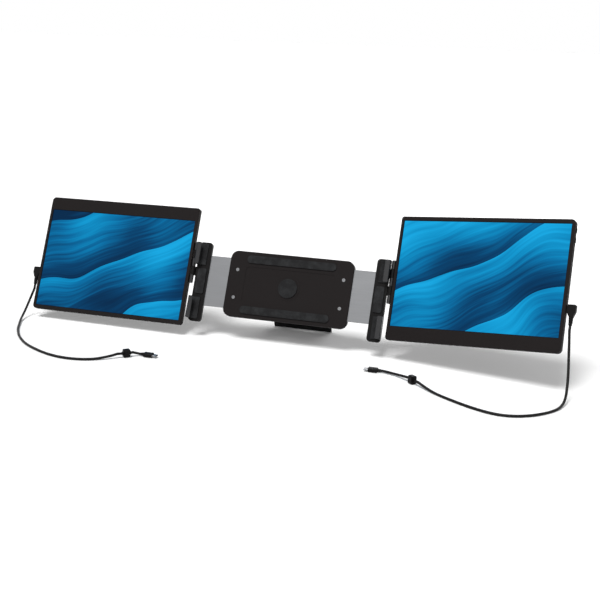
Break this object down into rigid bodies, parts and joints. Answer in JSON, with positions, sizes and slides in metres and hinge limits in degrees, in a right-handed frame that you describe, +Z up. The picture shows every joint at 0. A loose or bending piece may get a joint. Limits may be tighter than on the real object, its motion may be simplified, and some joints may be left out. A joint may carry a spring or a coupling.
{
  "type": "laptop screen extender",
  "caption": "Clip-on screen extender: a bracket with geared sliding arms and lid jaws carries hinged side monitors with short cables, and a fold-out stand behind.",
  "frame": {"origin": "middle of the face of the bracket's central pad, where it lies against the back of the host's lid", "axes": "+X along the lid to the right as its user sees it, +Y to the back, +Z up; the bracket, arms and monitors lean back 24 degrees with the lid"},
  "size_m": [0.8842, 0.2918, 0.2307],
  "materials": {
    "charcoal_abs": "fine moulded texture",
    "black_abs": "satin moulded",
    "pad_rubber": "matt",
    "black_steel": "black zinc, satin",
    "bright_steel": "brushed",
    "nylon": "satin",
    "acetal": "natural, satin",
    "screen": "low-reflection glass with the picture lit behind it",
    "light_panel": "matt white",
    "circuit_board": "solder mask",
    "cable_jacket": "satin elastomer"
  },
  "bodies": {
    "bracket": {"bracket_plate": "charcoal_abs", "rear_cover": "charcoal_abs", "guide_rails": "nylon", "lid_pads": "pad_rubber", "pinion_axle": "bright_steel", "bracket_screws": "bright_steel", "stand_pin": "bright_steel"},
    "pinion": {"pinion": "acetal"},
    "kickstand": {"kickstand": "charcoal_abs", "stand_foot": "pad_rubber"},
    "right_arm": {"right_slide_plate": "bright_steel", "right_rack": "black_steel", "right_arm_post": "black_abs", "right_jaws": "black_steel", "right_jaw_liners": "pad_rubber", "right_arm_screws": "bright_steel", "right_hinge_pin": "bright_steel", "right_cable": "cable_jacket", "right_cable_block": "black_abs", "right_cable_tail": "cable_jacket", "right_end_plug": "black_abs", "right_end_shell": "bright_steel"},
    "right_wing": {"right_hinge_leaf": "black_steel", "right_back_cover": "charcoal_abs", "right_front_bezel": "charcoal_abs", "right_chassis": "bright_steel", "right_backlight": "light_panel", "right_lcd_glass": "screen", "right_driver_board": "circuit_board", "right_ports": "bright_steel", "right_wing_screws": "bright_steel", "right_elbow_plug": "black_abs"},
    "right_menu_button": {"right_menu_button": "black_abs"},
    "right_power_button": {"right_power_button": "black_abs"},
    "left_arm": {"left_slide_plate": "bright_steel", "left_rack": "black_steel", "left_arm_post": "black_abs", "left_jaws": "black_steel", "left_jaw_liners": "pad_rubber", "left_arm_screws": "bright_steel", "left_hinge_pin": "bright_steel", "left_cable": "cable_jacket", "left_cable_block": "black_abs", "left_cable_tail": "cable_jacket", "left_end_plug": "black_abs", "left_end_shell": "bright_steel"},
    "left_wing": {"left_hinge_leaf": "black_steel", "left_back_cover": "charcoal_abs", "left_front_bezel": "charcoal_abs", "left_chassis": "bright_steel", "left_backlight": "light_panel", "left_lcd_glass": "screen", "left_driver_board": "circuit_board", "left_ports": "bright_steel", "left_wing_screws": "bright_steel", "left_elbow_plug": "black_abs"},
    "left_menu_button": {"left_menu_button": "black_abs"},
    "left_power_button": {"left_power_button": "black_abs"}
  },
  "joints": [
    {"name": "right_slide", "type": "slide", "parent": "bracket", "child": "right_arm", "axis": [1, 0, 0], "range_m": [-0.008, 0.046]},
    {"name": "left_slide", "type": "slide", "parent": "bracket", "child": "left_arm", "axis": [-1, 0, 0], "range_m": [-0.008, 0.046]},
    {"name": "pinion_spin", "type": "hinge", "parent": "bracket", "child": "pinion", "pos_m": [0, 0.00667, -0.00297], "axis": [0, 0.9135, -0.4067], "range_deg": [-57.4, 329.6]},
    {"name": "right_wing_hinge", "type": "hinge", "parent": "right_arm", "child": "right_wing", "pos_m": [0.16, 0.01085, 0.02363], "axis": [0, -0.4067, -0.9135], "range_deg": [-22.5, 75.5], "deforming": ["right_cable"]},
    {"name": "left_wing_hinge", "type": "hinge", "parent": "left_arm", "child": "left_wing", "pos_m": [-0.16, 0.01085, 0.02363], "axis": [0, 0.4067, 0.9135], "range_deg": [-6.5, 91.5], "deforming": ["left_cable"]},
    {"name": "kickstand_hinge", "type": "hinge", "parent": "bracket", "child": "kickstand", "pos_m": [0, 0.03306, 0.03344], "axis": [1, 0, 0], "range_deg": [-46.61, 13.19]},
    {"name": "right_menu_press", "type": "slide", "parent": "right_wing", "child": "right_menu_button", "axis": [-0.9681, 0.2287, -0.1018], "range_m": [0, 0.0005], "stiffness_N_per_m": 900, "springref_m": -0.0006},
    {"name": "right_power_press", "type": "slide", "parent": "right_wing", "child": "right_power_button", "axis": [-0.9681, 0.2287, -0.1018], "range_m": [0, 0.0005], "stiffness_N_per_m": 900, "springref_m": -0.0006},
    {"name": "left_menu_press", "type": "slide", "parent": "left_wing", "child": "left_menu_button", "axis": [0.9997, -0.0239, 0.0106], "range_m": [0, 0.0005], "stiffness_N_per_m": 900, "springref_m": -0.0006},
    {"name": "left_power_press", "type": "slide", "parent": "left_wing", "child": "left_power_button", "axis": [0.9997, -0.0239, 0.0106], "range_m": [0, 0.0005], "stiffness_N_per_m": 900, "springref_m": -0.0006}
  ],
  "couplings": [
    {"joint": "left_slide", "follows": "right_slide", "ratio": 1},
    {"joint": "pinion_spin", "follows": "right_slide", "rad_per_m": 125}
  ]
}
